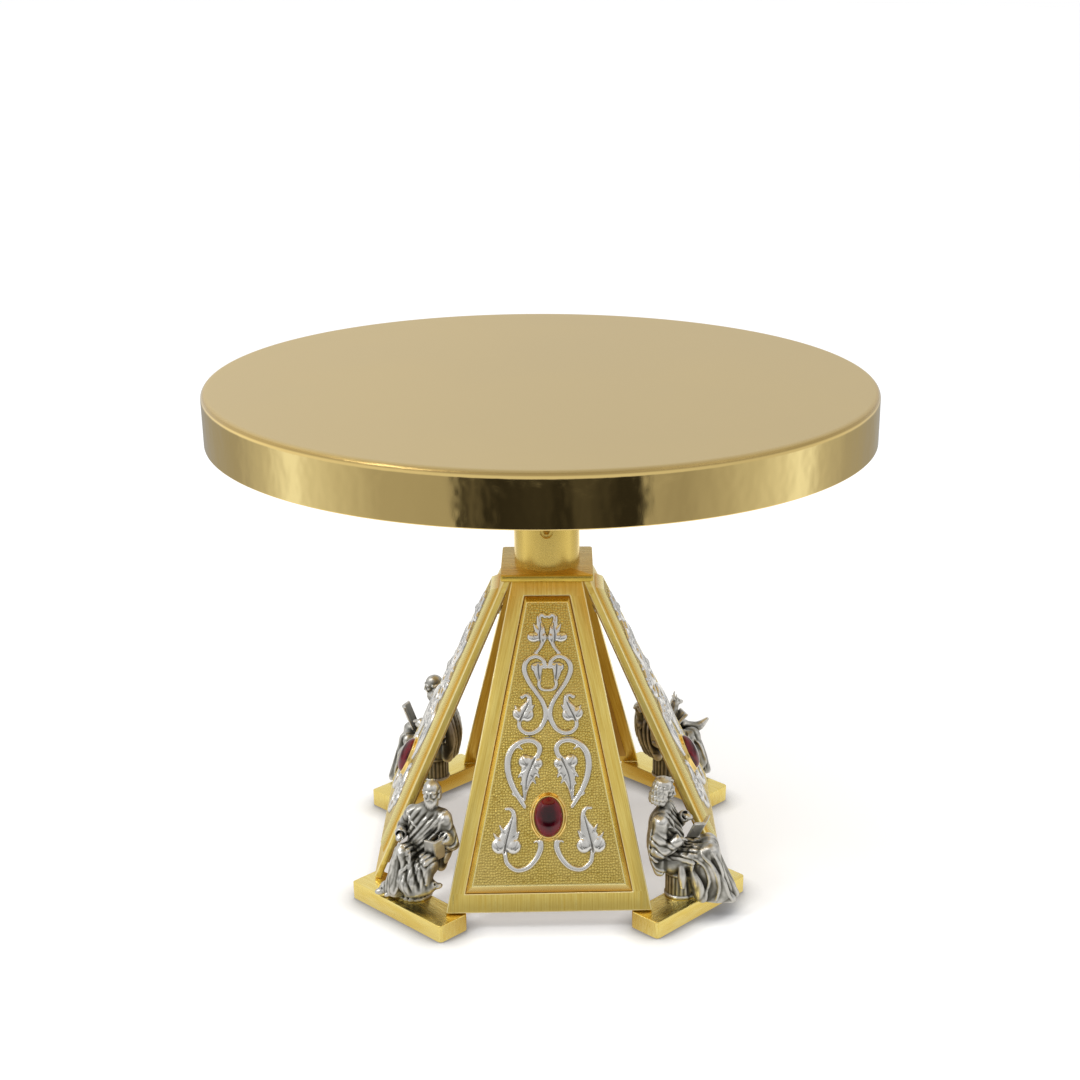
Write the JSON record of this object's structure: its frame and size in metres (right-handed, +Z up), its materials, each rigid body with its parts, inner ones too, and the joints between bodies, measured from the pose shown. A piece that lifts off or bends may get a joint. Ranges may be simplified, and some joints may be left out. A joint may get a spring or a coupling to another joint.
{
  "type": "exposition throne",
  "caption": "Round turning display plate for an altar, on a neck over a pyramid of leaning relief panels, with seated figures on bar feet.",
  "frame": {"origin": "centre of the footprint on the floor, under the plate's axis", "axes": "+Z up along the plate's turning axis, the front relief panel faces -Y, +X to its right"},
  "size_m": [0.3, 0.3, 0.235],
  "materials": {
    "gilt_polished": "gold plated, mirror polished on the rim, satin on top",
    "gilt_satin": "gold plated, fine satin",
    "gilt_brushed": "gold plated, brushed lengthwise",
    "gilt_stippled": "gold plated, fine hammered stipple",
    "brass_plain": "turned or rolled, unpolished",
    "steel_fixing": "plain zinc plated fixing",
    "silver_bright": "silver plated, satin, darkened in the cuts",
    "silver_antique": "silver plated cast metal, antiqued dark in the folds",
    "red_stone": "deep red polished cabochon"
  },
  "bodies": {
    "top_plate": {"plate": "gilt_polished", "spindle": "brass_plain"},
    "stand": {"neck": "gilt_satin", "retaining_screw": "gilt_satin", "thrust_washer": "brass_plain", "square_plate": "gilt_brushed", "neck_washer": "steel_fixing", "neck_bolt": "steel_fixing", "frame_front": "gilt_brushed", "relief_panel_front": "gilt_stippled", "backing_plate_front": "brass_plain", "panel_screws_front": "steel_fixing", "scrollwork_front": "silver_bright", "cabochon_bezel_front": "gilt_polished", "cabochon_front": "red_stone", "frame_right": "gilt_brushed", "relief_panel_right": "gilt_stippled", "backing_plate_right": "brass_plain", "panel_screws_right": "steel_fixing", "scrollwork_right": "silver_bright", "cabochon_bezel_right": "gilt_polished", "cabochon_right": "red_stone", "frame_back": "gilt_brushed", "relief_panel_back": "gilt_stippled", "backing_plate_back": "brass_plain", "panel_screws_back": "steel_fixing", "scrollwork_back": "silver_bright", "cabochon_bezel_back": "gilt_polished", "cabochon_back": "red_stone", "frame_left": "gilt_brushed", "relief_panel_left": "gilt_stippled", "backing_plate_left": "brass_plain", "panel_screws_left": "steel_fixing", "scrollwork_left": "silver_bright", "cabochon_bezel_left": "gilt_polished", "cabochon_left": "red_stone", "foot_bar_front_right": "gilt_brushed", "figure_screw_front_right": "steel_fixing", "figure_front_right": "silver_antique", "foot_bar_back_right": "gilt_brushed", "figure_screw_back_right": "steel_fixing", "figure_back_right": "silver_antique", "foot_bar_back_left": "gilt_brushed", "figure_screw_back_left": "steel_fixing", "figure_back_left": "silver_antique", "foot_bar_front_left": "gilt_brushed", "figure_screw_front_left": "steel_fixing", "figure_front_left": "silver_antique"}
  },
  "joints": [
    {"name": "plate_turn", "type": "hinge", "parent": "stand", "child": "top_plate", "pos_m": [0, 0, 0.228], "axis": [0, 0, 1], "continuous": true}
  ]
}
